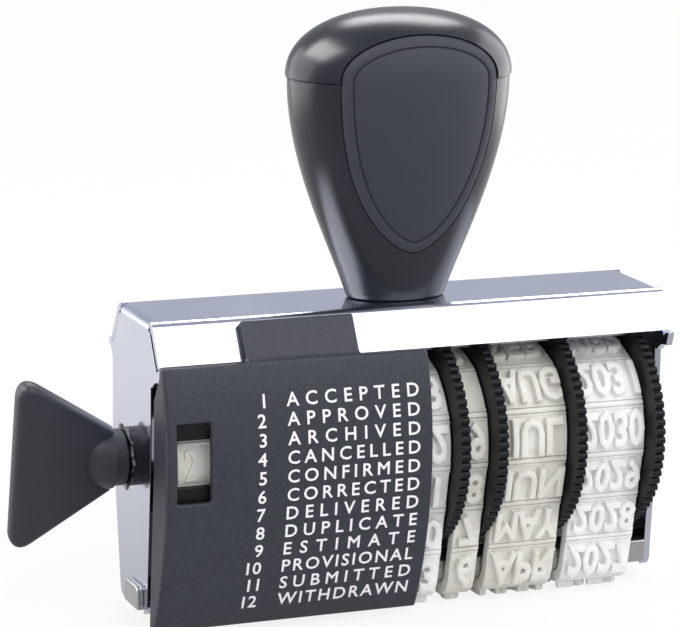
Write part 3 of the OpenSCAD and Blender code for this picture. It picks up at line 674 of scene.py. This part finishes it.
def date_lines(node, bodies, first):
    low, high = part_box(node)
    x, width = (low.x + high.x) / 2, high.x - low.x - 2 * type_margin
    turned_lines = [bodies[(first - n) % line_count] for n in range(line_count)]
    return [[(body, x, width, *type_shape)] if body else [] for body in turned_lines]


# The widest band has an index strip on its left, whose numbers show in the cover's window
low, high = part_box("phrase_band")
index_w = 2.6 * mm
index_x = low.x + 1.6 * mm
phrase_left = low.x + 4.2 * mm
phrase_margin = 0.5 * mm
phrase_x = (phrase_left + high.x) / 2
phrase_w = high.x - phrase_left - 2 * phrase_margin
first_phrase = 15
first_index = 11
phrase_lines = []
for n in range(line_count):
    phrase, index = (first_phrase - n) % line_count, (first_index - n) % line_count
    parts = []
    if 1 <= phrase <= len(phrases):
        parts.append((phrases[phrase - 1], phrase_x, phrase_w, *type_shape))
    if 1 <= index <= len(phrases):
        parts.append((str(index), index_x, index_w, *index_shape))
    phrase_lines.append(parts)

bands = (
    ("phrase_band", "phrase_type_band", "cream_rubber", phrase_lines),
    ("day_tens_band", "day_tens_type_band", "white_rubber", date_lines("day_tens_band", tens, 1)),
    ("day_units_band", "day_units_type_band", "cream_rubber", date_lines("day_units_band", units, 4)),
    ("month_band", "month_type_band", "cream_rubber", date_lines("month_band", months, 1)),
    ("year_band", "year_type_band", "white_rubber", date_lines("year_band", years, 13)),
)
for node, name, slot, lines in bands:
    band = make_band(node, name, lines)
    dress(band, finishes[slot])
    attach(band, "frame")
    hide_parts(node)

# Front cover
# A moulded cover that hooks behind the left end plate and clips over the front flange with a tab. A list is
# printed on it in white, and a window beside the list shows the number of the phrase that is set.
cover_edge = 0.3 * mm
cover_front = 13.2 * mm
cover_mid_z = 21 * mm
cover_upper_r = 34 * mm
cover_lower_r = 46 * mm
frame_x = 7.05 * mm
list_left = frame_x - 18.5 * mm
list_right = frame_x - 1.85 * mm
number_x = frame_x - 21.1 * mm
first_row_z = 28.9 * mm
row_pitch = 2.255 * mm
row_h = 1.62 * mm
print_size = 2.25 * mm
wide_spacing = 2
ink_t = 0.01 * mm
ink_spread = 0.035 * mm
thin_w = 0.5 * mm
grain_w = 0.35 * mm
window_left = frame_x - 32.1 * mm
window_right = frame_x - 27.2 * mm
wall_inside = frame_x - 32.05 * mm
wall_back_from = -8 * mm
wall_back_to = -5.9 * mm
wall_trim = 0.7 * mm
sill_from = -12 * mm
sill_to = -11 * mm


def cover_face(z):
    r = cover_upper_r if z > cover_mid_z else cover_lower_r
    return r - cover_front - sqrt(r * r - (z - cover_mid_z) ** 2)


# An entry is spaced out from left to right. Where the two are the same, it keeps its spacing and ends there
def printed(body, left, right, z):
    bpy.ops.object.select_all(action="DESELECT")
    bpy.ops.object.text_add()
    ink = bpy.context.object
    words = ink.data
    words.body = body
    words.size = print_size
    words.resolution_u = 3
    words.extrude = ink_t
    words.bevel_depth = ink_spread
    words.bevel_resolution = 0
    bpy.context.view_layer.update()
    if right > left:
        near = ink.dimensions.x
        words.space_character = wide_spacing
        bpy.context.view_layer.update()
        words.space_character = 1 + (right - left - near) / (ink.dimensions.x - near)
    bpy.context.view_layer.update()
    bpy.ops.object.convert(target="MESH")
    corners = [v.co.copy() for v in ink.data.vertices]
    low_x, high_x = min(c.x for c in corners), max(c.x for c in corners)
    low_y, high_y = min(c.y for c in corners), max(c.y for c in corners)
    for vertex in ink.data.vertices:
        x = left + vertex.co.x - low_x if right > left else right + vertex.co.x - high_x
        up = z + (vertex.co.y - (low_y + high_y) / 2) * row_h / (high_y - low_y)
        vertex.co = (x, cover_face(up) - vertex.co.z, up)
    bpy.ops.object.mode_set(mode="EDIT")
    bpy.ops.mesh.select_all(action="SELECT")
    bpy.ops.mesh.remove_doubles(threshold=fine_weld)
    bpy.ops.mesh.normals_make_consistent(inside=False)
    bpy.ops.object.mode_set(mode="OBJECT")
    return ink


# Pad-printed ink: white, matt, a little thin in places
ink_white, tree, shader, place = new_finish("white_pad_print_ink", {"Roughness": 0.5})
thin = add_node(tree, "TexNoise", {"Scale": 1 / thin_w, "Detail": 2}, {"Vector": place})
tone = add_node(tree, "Mix", {"data_type": "RGBA", 6: linear("#f4f4f4"), 7: linear("#dfe0e2")},
                {0: thin.outputs[0]})
tree.links.new(tone.outputs[2], shader.inputs["Base Color"])

# Satin charcoal ABS, spark-eroded: a visible fine grain that breaks up the light. The grain is drawn about twice
# as coarse as it is, so that it shows at this size
cover_satin, tree, shader, place = new_finish("grained_charcoal_abs", {"Roughness": 0.5, "IOR": 1.5})
grain = add_node(tree, "TexNoise", {"Scale": 1 / grain_w, "Detail": 3}, {"Vector": place})
share = add_node(tree, "MapRange", {"From Min": 0.35, "From Max": 0.65}, {"Value": grain.outputs[0]})
tone = add_node(tree, "Mix", {"data_type": "RGBA", 6: linear("#272b34"), 7: linear("#31353f")},
                {0: share.outputs[0]})
skin = add_node(tree, "Bump", {"Strength": 0.35, "Distance": 0.03 * mm}, {"Height": grain.outputs[0]})
tree.links.new(tone.outputs[2], shader.inputs["Base Color"])
tree.links.new(skin.outputs[0], shader.inputs["Normal"])

# The side wall's back edge is drawn in, and the two sills behind the window take the wheels' near-black, darker
# than
# the cover they belong to: painted shade in the window's recess
cover = copy_of("front_cover", "printed_cover")
for vertex in cover.data.vertices:
    if vertex.co.x < wall_inside and wall_back_from < vertex.co.y < wall_back_to:
        vertex.co.y -= wall_trim
break_edges(cover, cover_edge, clamp=False)
dress(cover, cover_satin)
# Painted shade: the sill faces behind the window get the darker black instead of the cover's charcoal
cover.data.materials.append(wheel_black)
for face in cover.data.polygons:
    if window_left < face.center.x < window_right and sill_from < face.center.y < sill_to:
        face.material_index = 1
rows = []
for number, entry in enumerate(phrases):
    z = first_row_z - number * row_pitch
    rows.append(printed(str(number + 1), number_x, number_x, z))
    rows.append(printed(entry, list_left, list_right, z))
for row in rows:
    dress(row, ink_white)
bpy.ops.object.select_all(action="DESELECT")
for row in rows + [cover]:
    row.select_set(True)
bpy.context.view_layer.objects.active = cover
bpy.ops.object.join()
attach(cover, "frame")
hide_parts("front_cover")

# Floor
# A pale seamless floor that the stamp stands on. The camera sees it almost white, with the soft shadow on it. In
# the chrome's mirror it glows with painted shade, darker in front of the stamp than behind it.
floor_w = 6
fibre_w = 40 * mm
white_share = 0.85

bpy.ops.object.select_all(action="DESELECT")
bpy.ops.mesh.primitive_plane_add(size=floor_w)
ground = bpy.context.object
ground.name = "studio_floor"

# Pale matt paper: almost even, with faint broad clouds
paper, tree, shader, place = new_finish("pale_paper_floor", {"Roughness": 0.9})
fibre = add_node(tree, "TexNoise", {"Scale": 1 / fibre_w, "Detail": 3}, {"Vector": place})
tone = add_node(tree, "Mix", {"data_type": "RGBA", 6: linear("#ededee"), 7: linear("#f2f2f2")},
                {0: fibre.outputs[0]})
tree.links.new(tone.outputs[2], shader.inputs["Base Color"])
rays = add_node(tree, "LightPath")
seen = add_node(tree, "Math", {"operation": "MAXIMUM"},
                {0: rays.outputs["Is Camera Ray"], 1: rays.outputs["Is Transmission Ray"]})
# Painted shade for reflections: for glossy rays the floor glows less in front of the stamp than behind it
across = add_node(tree, "SeparateXYZ", {}, {0: place})
painted_floor_shade = add_node(tree, "MapRange", {"From Min": -0.1, "From Max": 0.12, "To Min": 0.34, "To Max": 0.94},
                  {"Value": across.outputs["Y"]})
level = add_node(tree, "Math", {"operation": "MAXIMUM"}, {0: seen.outputs[0], 1: painted_floor_shade.outputs[0]})
white = add_node(tree, "Emission", {"Color": (1, 1, 1, 1)}, {"Strength": level.outputs[0]})
shown = add_node(tree, "Math", {"operation": "MAXIMUM"}, {0: seen.outputs[0], 1: rays.outputs["Is Glossy Ray"]})
part = add_node(tree, "Math", {"operation": "MULTIPLY", 1: white_share}, {0: shown.outputs[0]})
mixed = add_node(tree, "MixShader", {}, {0: part.outputs[0], 1: shader.outputs[0], 2: white.outputs[0]})
tree.links.new(mixed.outputs[0], tree.nodes["Material Output"].inputs["Surface"])
dress(ground, paper)

# Studio light
# White surroundings and a broad softbox in front on the right light the stamp evenly. Four more boxes, up on the
# left, behind and above, and close on both sides, show only as reflections, before a cool grey.
middle = Vector((0, 0, 36 * mm))


def softbox(name, way, distance, wide, tall, radiance, lights):
    bpy.ops.object.light_add(type="AREA", location=middle + Vector(way).normalized() * distance)
    lamp = bpy.context.object
    lamp.name = name
    lamp.data.shape = "RECTANGLE"
    lamp.data.size = wide
    lamp.data.size_y = tall
    lamp.data.energy = radiance * pi * wide * tall
    lamp.visible_diffuse = lights
    lamp.rotation_euler = (-Vector(way)).to_track_quat("-Z", "Y").to_euler()


softbox("key_softbox", (-0.63, 0.14, 0.76), 0.7, wide=0.58, tall=0.34, radiance=9, lights=False)
softbox("back_softbox", (0.32, 0.56, 0.76), 0.7, wide=0.42, tall=0.26, radiance=7, lights=False)
softbox("front_softbox", (0.36, -0.62, 0.7), 0.8, wide=0.8, tall=0.6, radiance=2, lights=True)
softbox("left_softbox", (-0.17, 0.1, 0.054), 0.205, wide=0.26, tall=0.18, radiance=2.2, lights=False)
softbox("right_softbox", (0.2, 0.03, 0.054), 0.21, wide=0.2, tall=0.18, radiance=2.2, lights=False)

scene = bpy.context.scene
scene.view_settings.view_transform = "Standard"
sky = bpy.data.worlds.new("studio_surroundings")
scene.world = sky
sky.use_nodes = True
tree = sky.node_tree
tree.nodes.clear()
way = add_node(tree, "TexCoord")
height = add_node(tree, "SeparateXYZ", {}, {0: way.outputs["Generated"]})
rise = add_node(tree, "MapRange", {"From Min": 0.25, "From Max": 0.7}, {"Value": height.outputs["Z"]})
grey = add_node(tree, "Mix", {"data_type": "RGBA", 6: linear("#bfc4cf"), 7: linear("#b4b8c1")},
                {0: rise.outputs[0]})
rays = add_node(tree, "LightPath")
seen = add_node(tree, "Math", {"operation": "MAXIMUM"},
                {0: rays.outputs["Is Camera Ray"], 1: rays.outputs["Is Transmission Ray"]})
soft = add_node(tree, "Background", {"Color": linear("#fbfbfd"), "Strength": 0.95})
mirrored = add_node(tree, "Background", {"Strength": 1}, {"Color": grey.outputs[2]})
white = add_node(tree, "Background", {"Color": (1, 1, 1, 1), "Strength": 1})
unseen = add_node(tree, "MixShader", {},
                  {0: rays.outputs["Is Glossy Ray"], 1: soft.outputs[0], 2: mirrored.outputs[0]})
around = add_node(tree, "MixShader", {}, {0: seen.outputs[0], 1: unseen.outputs[0], 2: white.outputs[0]})
add_node(tree, "OutputWorld", {}, {"Surface": around.outputs[0]})

# Camera
# A long lens, a little above the stamp and to its left, as fitted to the corners of the frame and the rims of the
# wheels. It is rolled by less than a degree.
look_down = radians(12.38)
look_round = radians(-21.67)
roll = radians(0.86)
camera_far = 0.396
target = Vector((-0.03 * mm, 0, 35.75 * mm))
turn = Euler((pi / 2 - look_down, 0, look_round)).to_matrix() @ Matrix.Rotation(roll, 3, "Z")
bpy.ops.object.camera_add(location=target + turn @ Vector((0, 0, camera_far)))
camera = bpy.context.object
camera.rotation_euler = turn.to_euler()
camera.data.lens = 174.75
camera.data.sensor_width = 36
scene.camera = camera
